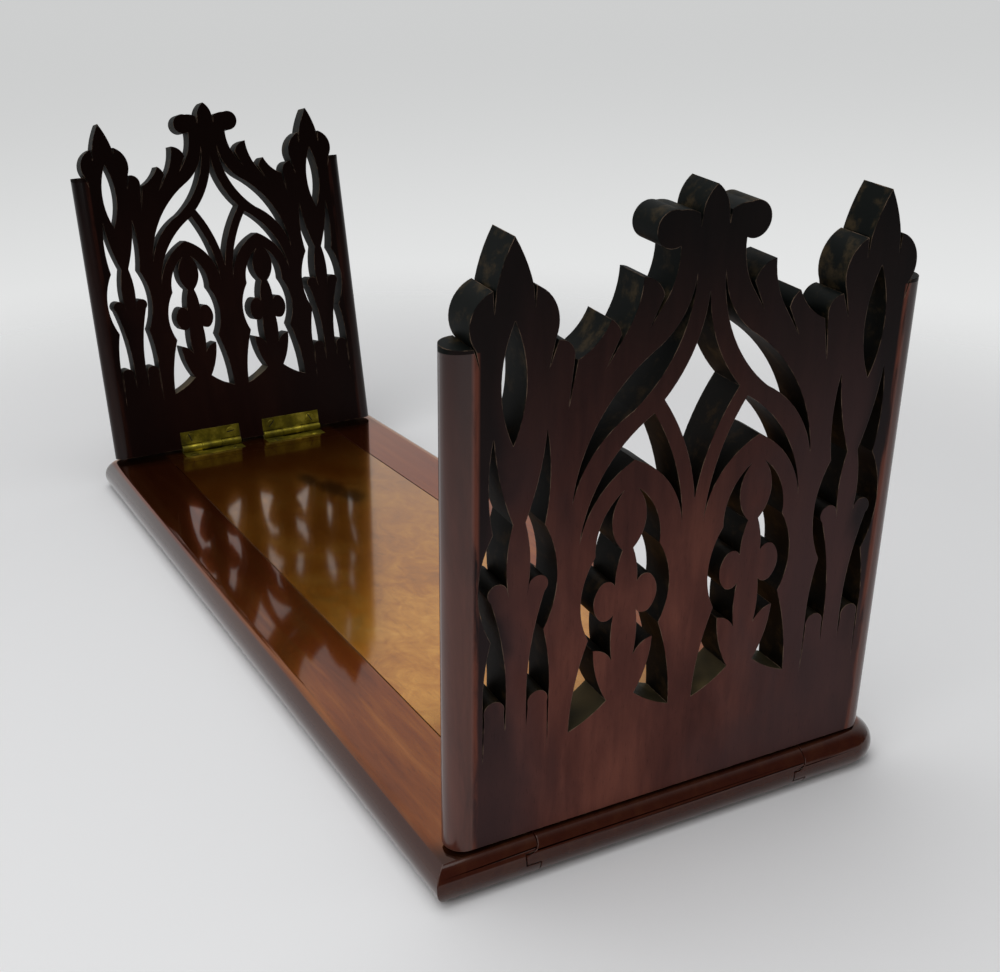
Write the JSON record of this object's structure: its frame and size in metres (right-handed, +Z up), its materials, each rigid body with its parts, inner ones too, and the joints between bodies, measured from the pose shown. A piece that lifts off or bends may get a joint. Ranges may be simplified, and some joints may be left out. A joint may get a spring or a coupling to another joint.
{
  "type": "book slide",
  "caption": "Extending wooden book slide with pierced Gothic fretwork ends that fold flat onto its base on brass butt hinges, and a middle board that draws out.",
  "frame": {"origin": "centre of the underside of the base", "axes": "+X along the length towards the end that draws out, +Y across towards the back rail, +Z up"},
  "size_m": [0.4672, 0.1554, 0.1902],
  "materials": {
    "rail_wood": "dark red French polish",
    "figured_veneer": "glossy figured veneer",
    "end_wood": "dark polish worn at the edges",
    "brass": "tarnished brass"
  },
  "bodies": {
    "base": {"front_rail": "rail_wood", "back_rail": "rail_wood", "far_block": "rail_wood", "far_block_veneer": "figured_veneer", "tie_strap": "brass", "far_front_hinge_base_leaf": "brass", "far_front_hinge_pin": "brass", "far_back_hinge_base_leaf": "brass", "far_back_hinge_pin": "brass"},
    "slide": {"slide_board": "rail_wood", "slide_veneer": "figured_veneer", "near_front_hinge_base_leaf": "brass", "near_front_hinge_pin": "brass", "near_back_hinge_base_leaf": "brass", "near_back_hinge_pin": "brass"},
    "near_end": {"near_bookend": "end_wood", "near_front_hinge_end_leaf": "brass", "near_back_hinge_end_leaf": "brass"},
    "far_end": {"far_bookend": "end_wood", "far_front_hinge_end_leaf": "brass", "far_back_hinge_end_leaf": "brass"}
  },
  "joints": [
    {"name": "slide_draw", "type": "slide", "parent": "base", "child": "slide", "axis": [1, 0, 0], "range_m": [0, 0.2]},
    {"name": "near_end_fold", "type": "hinge", "parent": "slide", "child": "near_end", "pos_m": [0.20076, 0, 0.01479], "axis": [0, -1, 0], "range_deg": [0, 97]},
    {"name": "far_end_fold", "type": "hinge", "parent": "base", "child": "far_end", "pos_m": [-0.20076, 0, 0.01479], "axis": [0, 1, 0], "range_deg": [0, 97]}
  ]
}
